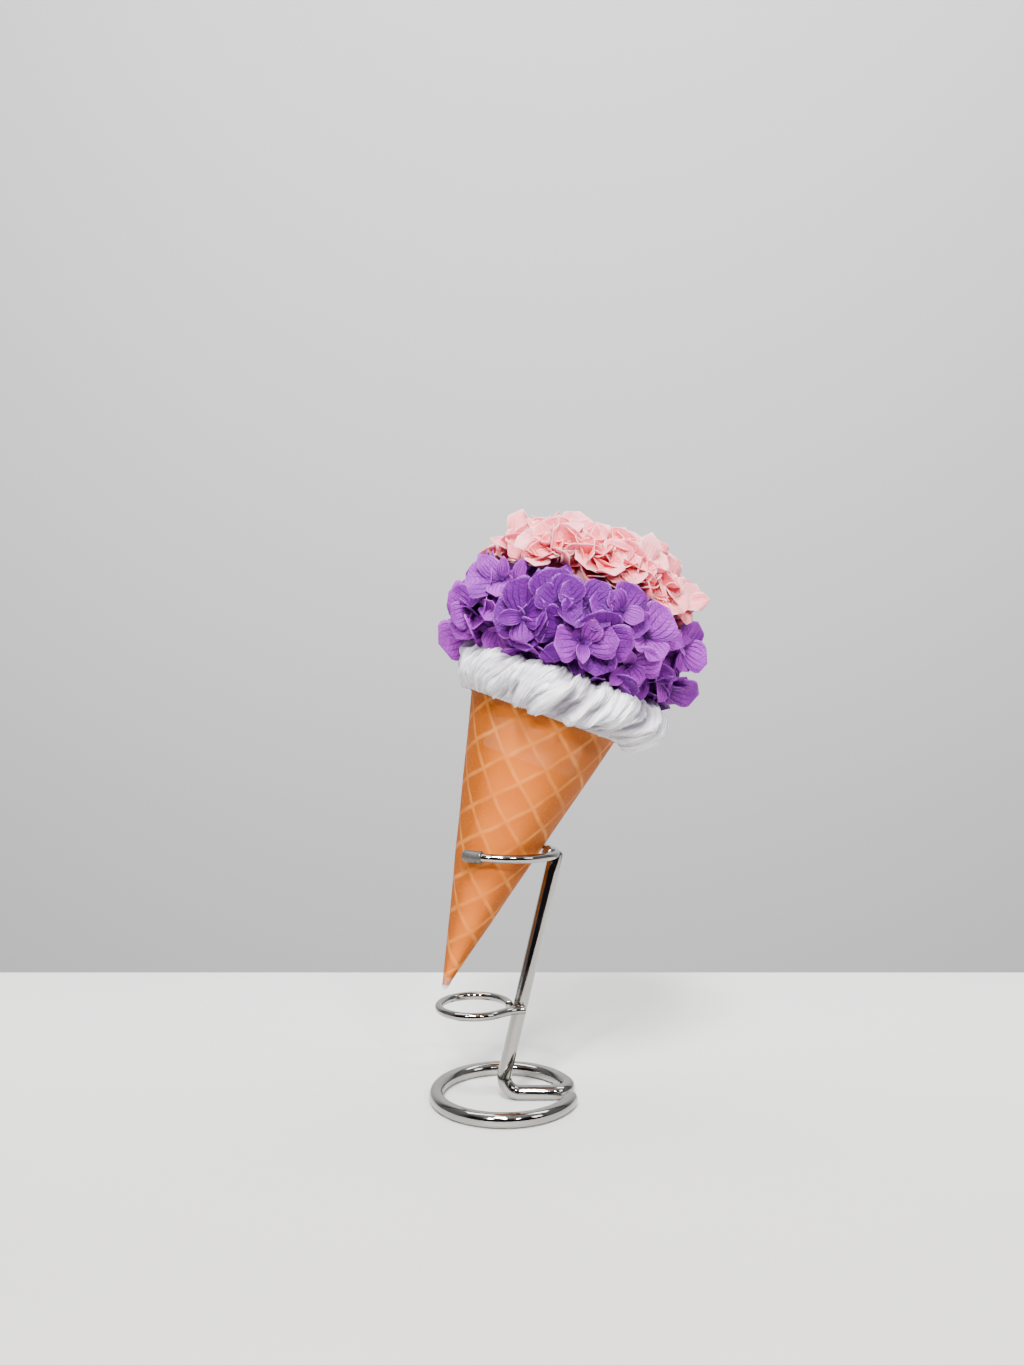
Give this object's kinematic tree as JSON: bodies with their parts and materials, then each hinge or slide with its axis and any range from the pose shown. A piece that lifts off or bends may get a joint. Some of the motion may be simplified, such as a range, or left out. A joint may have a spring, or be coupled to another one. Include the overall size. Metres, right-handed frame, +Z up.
{
  "type": "preserved flower cone in a wire stand",
  "caption": "Cone-shaped bouquet of preserved florets with a gathered frill round its mouth, held at a slant by a bent wire stand with a clamp and a round base.",
  "frame": {"origin": "middle of the whole object's footprint, on the surface it stands on", "axes": "+Z up, +X towards the side that the cone leans to, -Y towards the front with the label"},
  "size_m": [0.1236, 0.1206, 0.2688],
  "materials": {
    "plated_wire": "bright plated steel wire, mirror-like",
    "end_cap": "silver-grey plastic sleeve, satin",
    "waffle_paper": "printed card, satin, with a paler lattice of crossing lines",
    "clear_label": "clear film, blank, slightly glossy",
    "gathered_tissue": "sheer white tissue, crinkled in fine pleats",
    "purple_petals": "soft preserved petals with fine veins and dark eyes",
    "pink_petals": "soft preserved petals, thin and translucent at their edges"
  },
  "bodies": {
    "root": {"stand_rod": "plated_wire", "tip_ring": "plated_wire", "clamp_wire": "plated_wire", "clamp_cap_front": "end_cap", "clamp_cap_back": "end_cap", "paper_cone": "waffle_paper", "blank_label": "clear_label", "frill": "gathered_tissue", "purple_florets": "purple_petals", "pink_florets": "pink_petals"}
  },
  "joints": []
}
